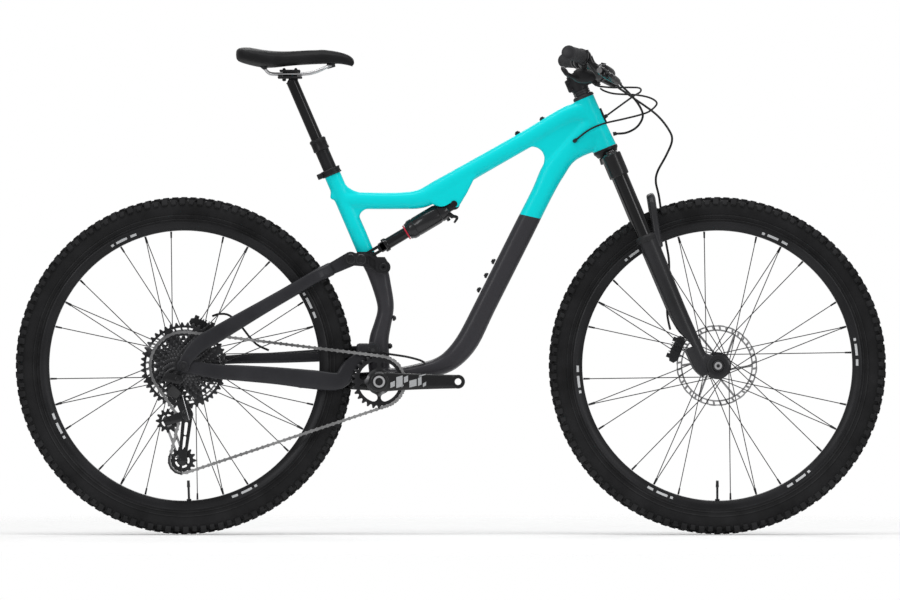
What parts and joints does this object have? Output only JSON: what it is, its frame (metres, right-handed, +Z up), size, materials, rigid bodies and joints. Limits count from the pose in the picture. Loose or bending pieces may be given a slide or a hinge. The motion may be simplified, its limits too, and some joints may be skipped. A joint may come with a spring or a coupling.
{
  "type": "mountain bike",
  "caption": "Full-suspension mountain bike with teal and black carbon frame, air fork and shock, dropper post, disc brakes, single-ring drivetrain, no pedals.",
  "frame": {"origin": "on the ground, midway between the axles, in the middle plane of the frame", "axes": "+X forward along the wheelbase, +Z up, drive side at -Y"},
  "size_m": [1.9318, 0.7868, 1.0815],
  "materials": {
    "frame_paint": "gloss teal and black paint over carbon fibre",
    "carbon": "satin black carbon fibre",
    "fork_paint": "gloss black on magnesium and aluminium",
    "black_alloy": "black anodised, satin",
    "hard_chrome_black": "polished black",
    "black_plastic": "moulded satin black",
    "steel": "bright",
    "black_steel": "black oxide",
    "tyre_rubber": "moulded tread",
    "grip_rubber": "knurled",
    "hose_black": "smooth",
    "saddle_cover": "synthetic cover over foam"
  },
  "bodies": {
    "frame": {"main_frame": "frame_paint", "headset_upper_cup": "black_alloy", "headset_lower_cup": "black_alloy", "seat_clamp": "black_alloy", "dropper_outer_tube": "black_alloy", "bottom_bracket": "black_alloy", "main_pivot_axle": "black_alloy", "rocker_pivot_axle": "black_alloy", "shift_housing": "hose_black", "dropper_housing": "hose_black", "rear_brake_hose": "hose_black", "chain": "steel"},
    "swingarm": {"chainstay": "carbon", "rear_axle": "black_alloy", "derailleur_hanger": "black_alloy"},
    "seatstay": {"seatstay": "carbon", "rear_brake_caliper": "black_alloy", "rear_calliper_hose": "hose_black"},
    "rocker": {"rocker_link_left": "carbon", "rocker_link_right": "carbon"},
    "shock_can": {"shock_can": "black_alloy"},
    "shock_shaft": {"shock_shaft": "hard_chrome_black"},
    "rear_wheel": {"rear_tyre": "tyre_rubber", "rear_rim": "black_alloy", "rear_hub": "black_alloy", "rear_rotor": "steel"},
    "cassette": {"cassette": "black_steel"},
    "crank": {"crank_right_arm": "black_alloy", "crank_left_arm": "black_alloy", "chainring": "black_alloy"},
    "steering": {"fork_crown": "fork_paint", "stem": "black_alloy", "handlebar": "black_alloy", "grip_right": "grip_rubber", "grip_left": "grip_rubber", "brake_master_right": "black_alloy", "brake_master_left": "black_alloy", "shifter_body": "black_plastic", "dropper_remote": "black_plastic", "front_brake_hose": "hose_black"},
    "fork_lower": {"fork_lowers": "fork_paint", "front_axle": "black_alloy", "front_brake_caliper": "black_alloy"},
    "front_wheel": {"front_tyre": "tyre_rubber", "front_rim": "black_alloy", "front_hub": "black_alloy", "front_rotor": "steel"},
    "seat": {"dropper_inner_tube": "hard_chrome_black", "rail_clamp": "black_alloy", "saddle_rails": "steel", "saddle": "saddle_cover"},
    "brake_lever_right": {"brake_lever_right": "black_alloy"},
    "brake_lever_left": {"brake_lever_left": "black_alloy"},
    "shift_paddle": {"shift_paddle": "black_plastic"},
    "dropper_paddle": {"dropper_paddle": "black_plastic"},
    "derailleur_link": {"derailleur_link": "black_plastic"},
    "derailleur_knuckle": {"derailleur_knuckle": "black_plastic"},
    "derailleur_cage": {"derailleur_cage": "black_plastic"},
    "pulley_upper": {"pulley_upper": "black_plastic"},
    "pulley_lower": {"pulley_lower": "black_plastic"}
  },
  "joints": [
    {"name": "rear_suspension", "type": "hinge", "parent": "frame", "child": "swingarm", "pos_m": [-0.1727, 0, 0.4089], "axis": [0, 1, 0], "range_deg": [0, 16.45], "stiffness_Nm_per_rad": 2600, "springref_deg": -1.72, "deforming": ["rear_calliper_hose", "chain"]},
    {"name": "seatstay_pivot", "type": "hinge", "parent": "swingarm", "child": "seatstay", "pos_m": [-0.5916, 0, 0.3743], "axis": [0, 1, 0], "range_deg": [-6.26, 0]},
    {"name": "rocker_pivot", "type": "hinge", "parent": "frame", "child": "rocker", "pos_m": [-0.1494, 0, 0.593], "axis": [0, 1, 0], "range_deg": [0, 53.25]},
    {"name": "shock_swing", "type": "hinge", "parent": "frame", "child": "shock_can", "pos_m": [0.0071, 0, 0.733], "axis": [0, 1, 0], "range_deg": [0, 3.33]},
    {"name": "shock_stroke", "type": "slide", "parent": "shock_can", "child": "shock_shaft", "axis": [0.8584, 0, 0.5129], "range_m": [0, 0.0454]},
    {"name": "rear_wheel_spin", "type": "hinge", "parent": "swingarm", "child": "rear_wheel", "pos_m": [-0.5916, 0, 0.3743], "axis": [0, 1, 0], "continuous": true},
    {"name": "crank_spin", "type": "hinge", "parent": "frame", "child": "crank", "pos_m": [-0.1587, 0, 0.3392], "axis": [0, 1, 0], "continuous": true},
    {"name": "cassette_spin", "type": "hinge", "parent": "swingarm", "child": "cassette", "pos_m": [-0.5916, 0, 0.3743], "axis": [0, 1, 0], "continuous": true},
    {"name": "steering_turn", "type": "hinge", "parent": "frame", "child": "steering", "pos_m": [0.34208, 0, 0.85678], "axis": [-0.3859, 0, 0.9225], "range_deg": [-60, 60], "deforming": ["shift_housing", "dropper_housing", "rear_brake_hose"]},
    {"name": "fork_stroke", "type": "slide", "parent": "steering", "child": "fork_lower", "axis": [-0.3859, 0, 0.9225], "range_m": [0, 0.13], "stiffness_N_per_m": 9000, "springref_m": -0.012, "deforming": ["front_brake_hose"]},
    {"name": "front_wheel_spin", "type": "hinge", "parent": "fork_lower", "child": "front_wheel", "pos_m": [0.5916, 0, 0.3743], "axis": [0, 1, 0], "continuous": true},
    {"name": "dropper_stroke", "type": "slide", "parent": "frame", "child": "seat", "axis": [-0.3971, 0, 0.9178], "range_m": [-0.125, 0], "stiffness_N_per_m": 400, "springref_m": 0.3},
    {"name": "brake_lever_left_pull", "type": "hinge", "parent": "steering", "child": "brake_lever_left", "pos_m": [0.34399, 0.25008, 1.01546], "axis": [0.5501, 0, 0.8351], "range_deg": [0, 18], "stiffness_Nm_per_rad": 0.5, "springref_deg": -14.32},
    {"name": "brake_lever_right_pull", "type": "hinge", "parent": "steering", "child": "brake_lever_right", "pos_m": [0.34399, -0.25008, 1.01546], "axis": [-0.5501, 0, -0.8351], "range_deg": [0, 18], "stiffness_Nm_per_rad": 0.5, "springref_deg": -14.32},
    {"name": "shift_paddle_push", "type": "hinge", "parent": "steering", "child": "shift_paddle", "pos_m": [0.27579, -0.218, 1.00747], "axis": [-0.386, 0, 0.9225], "range_deg": [0, 16], "stiffness_Nm_per_rad": 0.3, "springref_deg": -14.32},
    {"name": "dropper_paddle_push", "type": "hinge", "parent": "steering", "child": "dropper_paddle", "pos_m": [0.29208, 0.21, 1.02296], "axis": [0.386, 0, -0.9225], "range_deg": [0, 16], "stiffness_Nm_per_rad": 0.3, "springref_deg": -14.32},
    {"name": "derailleur_shift", "type": "hinge", "parent": "swingarm", "child": "derailleur_link", "pos_m": [-0.6236, -0.0944, 0.3263], "axis": [0.6727, 0, 0.7399], "range_deg": [-5, 20]},
    {"name": "derailleur_level", "type": "hinge", "parent": "derailleur_link", "child": "derailleur_knuckle", "pos_m": [-0.6016, -0.066, 0.3063], "axis": [0.6727, 0, 0.7399], "range_deg": [-20.1, 5.1]},
    {"name": "derailleur_cage_swing", "type": "hinge", "parent": "derailleur_knuckle", "child": "derailleur_cage", "pos_m": [-0.5836, 0, 0.2663], "axis": [0, 1, 0], "range_deg": [-25, 15], "stiffness_Nm_per_rad": 1.5},
    {"name": "pulley_upper_spin", "type": "hinge", "parent": "derailleur_cage", "child": "pulley_upper", "pos_m": [-0.6272, 0, 0.2522], "axis": [0, 1, 0], "continuous": true},
    {"name": "pulley_lower_spin", "type": "hinge", "parent": "derailleur_cage", "child": "pulley_lower", "pos_m": [-0.5954, 0, 0.1643], "axis": [0, 1, 0], "continuous": true}
  ],
  "couplings": [
    {"joint": "seatstay_pivot", "follows": "rear_suspension", "ratio": -0.38},
    {"joint": "rocker_pivot", "follows": "rear_suspension", "ratio": 3.234},
    {"joint": "shock_swing", "follows": "rear_suspension", "ratio": 0.2018},
    {"joint": "shock_stroke", "follows": "rear_suspension", "m_per_rad": 0.1578},
    {"joint": "cassette_spin", "follows": "crank_spin", "ratio": 0.75676},
    {"joint": "derailleur_level", "follows": "derailleur_shift", "ratio": -1}
  ]
}
